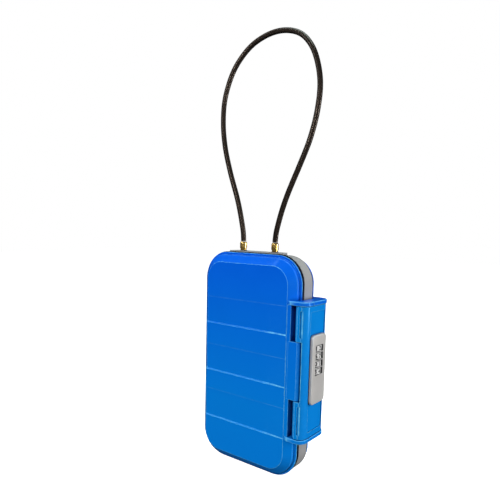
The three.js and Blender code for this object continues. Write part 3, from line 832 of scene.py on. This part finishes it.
def front_lip(z):
    """A shelf on the front half over or under the latch, at heights z."""
    outline = [(LIP_FOOT_X, -LIP_FOOT_Y), (LIP_HEEL_X, -LIP_HEEL_Y), (LIP_TURN_X, -LIP_Y)]
    outline += arc(LIP_X - LIP_R, -LIP_Y + LIP_R, LIP_R, -90, 0)
    outline += [(LIP_X, -FRONT_LIP_END_Y), (WIDTH / 2 + LIP_SIDE_GAP, -FRONT_LIP_END_Y)]
    return prism(outline, "z", z, LIP_EDGE)


def rear_lip(z):
    """The shelf on the rear half that meets it, and that reaches past the frame."""
    beside = WIDTH / 2 - FRAME_INSET + LIP_SIDE_GAP
    outline = [(beside, REAR_LIP_START_Y), (LIP_X, REAR_LIP_START_Y)]
    outline += arc(LIP_X - LIP_REAR_R, LIP_Y - LIP_REAR_R, LIP_REAR_R, 0, 90)
    outline += [(LIP_TURN_X, LIP_Y), (LIP_HEEL_X, LIP_HEEL_Y), (LIP_FOOT_X, SEAM_Y + FLANGE),
                (beside, SEAM_Y + 0.1)]
    return prism(outline, "z", z, LIP_EDGE)


def hinge_arm(z):
    """A knuckle of the front half, with the arm that carries it."""
    inner_x, side_x, flange_y = HINGE_X + 2, -WIDTH / 2, -SEAM_Y - FLANGE
    outline = [(inner_x, flange_y), (side_x, flange_y), (side_x - 0.4, -SEAM_Y),
               (HINGE_X - 1.9, HINGE_Y - 1.1), (HINGE_X, HINGE_Y), (inner_x, HINGE_Y - 0.9)]
    knuckle = rod(HINGE_X, HINGE_Y, KNUCKLE_R, z, KNUCKLE_EDGE)
    return [prism(outline, "z", z, HINGE_ARM_EDGE), knuckle]


def front_cover(finishes):
    cover = shell(-1, FRONT_RIM_Y)
    top = -SEAM_Y - FLANGE
    shoulder_x = (SHOULDER_START_X, SHOULDER_X + SHOULDER_SPARE)
    join(cover, block(shoulder_x, (HAIR - FACE_Y, top), BAY_Z))
    cut(cover, block((SHOULDER_X, WIDTH / 2), (-FACE_Y - PAST, top - BAY_FLOOR), BAY_Z))
    tab_x = (SHOULDER_X - TAB_ROOT, PIVOT_X)
    join(cover, block(tab_x, (-FACE_Y, PIVOT_Y + PIVOT_R), TAB_Z, TAB_EDGE))
    join(cover, rod(PIVOT_X, PIVOT_Y, PIVOT_R, TAB_Z, TAB_EDGE))
    join(cover, *(front_lip(z) for z in LIPS))
    for z in COVER_KNUCKLES:
        join(cover, *hinge_arm(z))
    cut(cover, rod(PIVOT_X, PIVOT_Y, TAB_BORE_R, (TAB_Z[0] - PAST, TAB_Z[1] + PAST)))
    cut(cover, rod(HINGE_X, HINGE_Y, COVER_BORE_R, HINGE_BORE_Z))
    settle(cover, "cover_shell", finishes["blue"], "cover", "blue_abs", "front_cover")


def rear_cover(finishes):
    cover = shell(1, SEAM_Y, REAR_LIP_INSET)
    ledge_y = (FACE_Y - LEDGE_DEPTH, FACE_Y)
    join(cover, block((LEDGE_START_X, LEDGE_X), ledge_y, BAY_Z, LEDGE_EDGE))
    join(cover, *(rear_lip(z) for z in LIPS))
    settle(cover, "case_shell", finishes["blue"], "case", "blue_abs", "rear_cover")


def band_ring(inset, wall, low, high, edge):
    """A rounded-edged hoop that follows the case outline."""
    out, back = inset + edge, inset + wall - edge
    profile = [(out, low), (inset, low + edge), (inset, high - edge), (out, high)]
    profile += [(back, high), (inset + wall, high - edge), (inset + wall, low + edge), (back, low)]
    return loft("band", profile, closed=True)


def mid_frame(finishes):
    """The grey hoop, set back beside the latch and the hinge, with its pad and knuckles."""
    wall = FRAME_INSET + FRAME_WALL - HOOP_INSET
    hoop = band_ring(HOOP_INSET, wall, *HOOP_Y, HOOP_EDGE)
    beside = WIDTH / 2 - FRAME_INSET
    cut(hoop, block((beside, WIDTH), THROUGH_HOOP, (LIPS[0][1], LIPS[1][0])))
    hinge_z = (FRAME_KNUCKLES[0][0] - PAST, FRAME_KNUCKLES[-1][1] + PAST)
    cut(hoop, block((-WIDTH, -beside), THROUGH_HOOP, hinge_z))
    pad_z = (HEIGHT - FRAME_INSET - PAST, PAD_TOP)
    join(hoop, block(PAD_X, (-PAD_HALF_Y, PAD_HALF_Y), pad_z, PAD_EDGE))
    arm_x = (HINGE_X, -WIDTH / 2 + FRAME_INSET + PAST)
    for z in FRAME_KNUCKLES:
        join(hoop, block(arm_x, KNUCKLE_ARM_Y, z))
        join(hoop, rod(HINGE_X, HINGE_Y, KNUCKLE_R, z, KNUCKLE_EDGE))
    cut(hoop, rod(HINGE_X, HINGE_Y, FRAME_BORE_R, HINGE_BORE_Z))
    for side in (-1, 1):
        cut(hoop, rod(side * FERRULE_X, 0, FERRULE_BORE_R, FERRULE_BORE_Z))
    settle(hoop, "frame_hoop", finishes["grey"], "case", "grey_abs", "mid_frame")


def seals(finishes):
    front = band_ring(0.0, SEAL_WALL, SEAL_GAP - FRONT_RIM_Y, HOOP_Y[0] - SEAL_GAP, HOOP_EDGE)
    front.data.transform(Matrix.Translation((0, 0, BEAD_RISE)))
    settle(front, "front_seal_bead", finishes["rubber"], "cover", "black_rubber", "front_seal")
    rear = band_ring(REAR_BEAD_INSET, SEAL_WALL, *REAR_BEAD_Y, REAR_BEAD_EDGE)
    settle(rear, "rear_seal_bead", finishes["rubber"], "case", "black_rubber", "rear_seal")


# ---- latch ----
def latch_outline(inset):
    """The latch's C-shaped section; a smaller one runs out past the mouth, to hollow it."""
    mouth = LATCH_MOUTH_X - inset * MOUTH_PAST
    front = arc(LATCH_X - LATCH_R, LATCH_R - LATCH_Y, LATCH_R - inset, -90, 0, 14)
    rear = arc(LATCH_X - LATCH_REAR_R, LATCH_Y - LATCH_REAR_R, LATCH_REAR_R - inset, 0, 90, 14)
    return [(mouth, inset - LATCH_Y), *front, *rear, (mouth, LATCH_Y - inset)]


def latch(finishes):
    """The hollow latch body, its pivot cheeks with their grooves, and its recessed side panel."""
    body = prism(latch_outline(0), "z", LATCH_Z, LATCH_EDGE)
    hollow_z = (LATCH_Z[0] + LATCH_WALL, LATCH_Z[1] - LATCH_WALL)
    cut(body, prism(latch_outline(LATCH_WALL), "z", hollow_z))
    clear_x, clear_y = CLEAR_OF_LATCH
    tab_room = (TAB_Z[0] - TAB_GAP, TAB_Z[1] + TAB_GAP)
    cut(body, block((clear_x, PIVOT_X + TAB_ROOM), (clear_y, PIVOT_Y + TAB_ROOM), tab_room))
    cheek_x = (PIVOT_X, PIVOT_X + CHEEK[0])
    cheek_y = (-LATCH_Y, PIVOT_Y + CHEEK[1])
    groove_y = (-LATCH_Y - PAST, -LATCH_Y + GROOVE_DEPTH)
    for z in ((LATCH_Z[0], tab_room[0]), (tab_room[1], LATCH_Z[1])):
        join(body, block(cheek_x, cheek_y, z, CHEEK_EDGE))
        join(body, rod(PIVOT_X, PIVOT_Y, PIVOT_R, z, CHEEK_EDGE))
        groove_z = (z[0] + GROOVE_END, z[1] - GROOVE_END)
        cut(body, block(GROOVE_X, groove_y, groove_z, GROOVE_EDGE))
    cut(body, block((clear_x, PIVOT_X), (clear_y, PIVOT_Y - PIVOT_R), LATCH_Z))
    cut(body, rod(PIVOT_X, PIVOT_Y, LATCH_BORE_R, LATCH_BORE_Z))
    panel_height = LATCH_Z[1] - LATCH_Z[0] - PANEL_MARGIN
    panel = rounded_rect(PANEL_WIDTH, panel_height, PANEL_CORNER, 0, sum(LATCH_Z) / 2)
    cut(body, prism(panel, "x", (LATCH_X - PANEL_DEPTH, LATCH_X + PAST)))
    cut(body, block(WORKS_X, (-WORKS_HALF_Y, WORKS_HALF_Y), DIAL_ROOM_Z))
    cut(body, prism(plate_outline(PLATE_SPARE), "x", (PLATE_SEAT_X, LATCH_X + PAST)))
    settle(body, "latch_body", finishes["lit_latch_blue"], "latch", "blue_abs", "latch_housing")


def plate_outline(spare=0.0):
    height = PLATE_Z[1] - PLATE_Z[0]
    return rounded_rect(PLATE_WIDTH + spare, height + spare, PLATE_CORNER, 0, sum(PLATE_Z) / 2)


def plate(finishes):
    plate_x = (PLATE_SEAT_X + PLATE_SEAT_GAP, PLATE_X)
    body = prism(plate_outline(), "x", plate_x, PLATE_EDGE, segments=4, limit=60)
    cut(body, block(PLATE_BACK_X, (-PLATE_BACK_HALF_Y, PLATE_BACK_HALF_Y), DIAL_ROOM_Z))
    for z in DIAL_Z:
        window = rounded_rect(WINDOW_WIDTH, WINDOW_HEIGHT, WINDOW_CORNER, 0, z, 3)
        cut(body, prism(window, "x", THROUGH_PLATE))
    settle(body, "plate_face", finishes["satin"], "latch", "satin_metal", "lock_plate", smooth=40)


# ---- dials with their digits ----
def dial_outline():
    """Ten flats for the digits, with a notch between each two."""
    points = []
    notch = math.pi / DIGITS
    for i in range(DIGITS):
        middle = 2 * math.pi * i / DIGITS
        corners = ((-notch, DIAL_R - NOTCH_DEPTH), (-FLAT_TURN, DIAL_R), (FLAT_TURN, DIAL_R))
        for turn, radius in corners:
            angle = middle + turn
            points.append((SPINDLE_X + radius * math.cos(angle), radius * math.sin(angle)))
    return points


def digit_mesh(digit):
    """A thin solid digit, drawn upright in the x-y plane."""
    text = bpy.data.curves.new("digit", "FONT")
    text.body = str(digit)
    text.size = DIGIT_SIZE
    text.align_x = "CENTER"
    text.align_y = "CENTER"
    text.extrude = DIGIT_DEPTH
    text.offset = DIGIT_BOLD
    text.resolution_u = 3
    holder = object_from("digit", text)
    bpy.context.view_layer.update()
    depsgraph = bpy.context.evaluated_depsgraph_get()
    mesh = bpy.data.meshes.new_from_object(holder.evaluated_get(depsgraph))
    bpy.data.objects.remove(holder)
    return mesh


def dials(finishes):
    shapes = [digit_mesh(digit) for digit in range(DIGITS)]
    flat = DIAL_R * math.cos(FLAT_TURN)
    upright = Matrix.Rotation(math.pi / 2, 4, "Z") @ Matrix.Rotation(math.pi / 2, 4, "X")
    for number, (z, shown) in enumerate(zip(DIAL_Z, SHOWN_DIGITS), 1):
        wheel = prism(dial_outline(), "z", (z - DIAL_HALF, z + DIAL_HALF), DIAL_EDGE, segments=2)
        cut(wheel, rod(SPINDLE_X, 0, DIAL_BORE_R, (z - DIAL_BORE_HALF, z + DIAL_BORE_HALF)))
        body = f"dial_{number}"
        node = f"number_dial_{number}"
        settle(wheel, f"wheel_{number}", finishes["dial"], body, "satin_metal", node)
        bm = bmesh.new()
        for i in range(DIGITS):
            mesh = shapes[(shown + i) % DIGITS].copy()
            turn = Matrix.Rotation(2 * math.pi * i / DIGITS, 4, "Z")
            spot = Matrix.Translation((SPINDLE_X, 0, z)) @ turn @ Matrix.Translation((flat, 0, 0))
            mesh.transform(spot @ upright)
            bm.from_mesh(mesh)
        marks = bpy.data.meshes.new("digits")
        bm.to_mesh(marks)
        bm.free()
        digits = object_from("digits", marks)
        settle(digits, f"digits_{number}", finishes["ink"], body, "satin_metal")


# ---- ferrules ----
def lathe(name, x, profile, sides=40):
    """Turns a profile of (radius, z) about an upright axis at x, with flat ends."""
    points = []
    for radius, z in profile:
        points += [(px, py, z) for px, py in arc(x, 0, radius, 0, 360, sides)[:-1]]
    faces = []
    for i in range(len(profile) - 1):
        a, b = i * sides, (i + 1) * sides
        faces += [(a + k, a + (k + 1) % sides, b + (k + 1) % sides, b + k) for k in range(sides)]
    last = (len(profile) - 1) * sides
    faces += [tuple(range(sides)), tuple(range(last, last + sides))]
    return solid(name, points, faces)


def ferrules(finishes):
    """Both ends of the cable; the release end's tail has a groove for the catch."""
    low, top = FERRULE_Z
    neck = PAD_TOP + 0.1
    head = [(1.8, neck), (2.4, neck + 0.05), (2.5, neck + 0.2), (2.5, neck + 1.6),
            (2.75, neck + 1.8), (2.95, neck + 2.1), (2.95, top - 1.2), (2.8, top - 0.9),
            (2.65, top - 0.55), (2.3, top)]
    groove = [(1.4, low), (1.8, low + 0.6), (1.8, low + 2.4), (1.2, low + 2.4), (1.2, low + 4.4),
              (1.8, low + 4.4)]
    for name, side, tail in (("fixed_ferrule", -1, [(1.8, low)]), ("release_ferrule", 1, groove)):
        piece = lathe(name, side * FERRULE_X, tail + head)
        settle(piece, f"{name}_brass", finishes["brass"], "case", "brass", name, smooth=40)


# ---- finishes for the CAD nodes that keep their shape ----
def dress_nodes(finishes):
    wanted = {
        "blue_abs": "blue", "grey_abs": "grey", "black_rubber": "rubber", "black_plastic": "black",
        "satin_metal": "satin", "coated_cable": "black", "brass": "brass", "steel": "steel",
    }
    slots = {part["node"]: part["material_slot"] for part in frame["record"]["subparts"]}
    for name, node in frame["nodes"].items():
        look = finishes[wanted[slots[name]]]
        for holder in node.material_slots:
            holder.material = look
        if not node.material_slots:
            node.data.materials.append(look)


# ---- floor and light, in metres and watts ----
FLOOR_HALF = 3.0
FLOOR_DROP = 0.0003
FLOOR_GLOW = 0.93
LIGHT_AIM = (0, 0, 0.1)
SKY_SPAN = 0.3
SKY_LOW = 0.14
SKY_HIGH = 0.2
SKY_IN_GLOSS = 0.02
SKY_IN_VIEW = 1.0


def make_stage():
    """A white paper floor, which the object neither reflects nor is lit by."""
    half = FLOOR_HALF
    corners = [(-half, -half, 0), (half, -half, 0), (half, half, 0), (-half, half, 0)]
    floor = solid("floor", corners, [(0, 1, 2, 3)])
    floor.location.z = -FLOOR_DROP
    nodes = Nodes("floor_paper")
    shader = nodes.shader
    tone = nodes.spread(nodes.noise(3.0, 3.0), 0.0, 1.0)
    paper = nodes.mix(tone, (0.88, 0.88, 0.88), (0.9, 0.9, 0.9))
    nodes.link(paper, shader.inputs["Base Color"])
    shader.inputs["Roughness"].default_value = 0.9
    shader.inputs["Specular IOR Level"].default_value = 0.0
    shader.inputs["Emission Color"].default_value = (1, 1, 1, 1)
    shader.inputs["Emission Strength"].default_value = FLOOR_GLOW
    floor.data.materials.append(nodes.material)
    floor.visible_glossy = False
    floor.visible_diffuse = False


def area_light(name, place, size, power, color=(1, 1, 1)):
    """A rectangular lamp that faces the object."""
    data = bpy.data.lights.new(name, "AREA")
    data.shape = "RECTANGLE"
    data.size, data.size_y = size
    data.energy = power
    data.color = color
    lamp = bpy.data.objects.new(name, data)
    lamp.location = place
    lamp.rotation_euler = (Vector(LIGHT_AIM) - Vector(place)).to_track_quat("-Z", "Y").to_euler()
    bpy.context.scene.collection.objects.link(lamp)


def make_lights():
    area_light("key", (-0.8, -0.55, 1.05), (0.3, 0.9), 3)
    area_light("top", (-0.1, 0.1, 1.5), (0.8, 0.8), 9, (0.8, 1.0, 0.95))
    area_light("front", (0.0, -1.35, 0.75), (0.8, 0.5), 15)
    area_light("side", (1.2, 0.55, 0.3), (0.5, 0.9), 18)
    area_light("strip", (0.95, -0.75, 0.25), (0.1, 0.8), 0.5)


def make_sky():
    """Soft grey light from all round, dark in reflections and white where it is seen."""
    world = bpy.data.worlds.new("studio")
    bpy.context.scene.world = world
    world.use_nodes = True
    nodes = world.node_tree.nodes
    links = world.node_tree.links
    sky = nodes["Background"]
    place = nodes.new("ShaderNodeTexCoord")
    split = nodes.new("ShaderNodeSeparateXYZ")
    above = nodes.new("ShaderNodeMapRange")
    above.inputs["From Min"].default_value = -SKY_SPAN
    above.inputs["From Max"].default_value = SKY_SPAN
    above.inputs["To Min"].default_value = SKY_LOW
    above.inputs["To Max"].default_value = SKY_HIGH
    links.new(place.outputs["Generated"], split.inputs["Vector"])
    links.new(split.outputs["Z"], above.inputs["Value"])
    links.new(above.outputs["Result"], sky.inputs["Color"])
    path = nodes.new("ShaderNodeLightPath")
    last = sky
    for ray, tone in (("Is Glossy Ray", SKY_IN_GLOSS), ("Is Camera Ray", SKY_IN_VIEW)):
        other = nodes.new("ShaderNodeBackground")
        other.inputs["Color"].default_value = (tone, tone, tone, 1)
        choose = nodes.new("ShaderNodeMixShader")
        links.new(path.outputs[ray], choose.inputs["Fac"])
        links.new(last.outputs[0], choose.inputs[1])
        links.new(other.outputs["Background"], choose.inputs[2])
        last = choose
    links.new(last.outputs["Shader"], nodes["World Output"].inputs["Surface"])


make_camera()
looks = make_materials()
make_cable(looks)
front_cover(looks)
rear_cover(looks)
mid_frame(looks)
seals(looks)
latch(looks)
plate(looks)
dials(looks)
ferrules(looks)
dress_nodes(looks)
make_stage()
make_lights()
make_sky()
bpy.context.scene.view_settings.view_transform = "Standard"
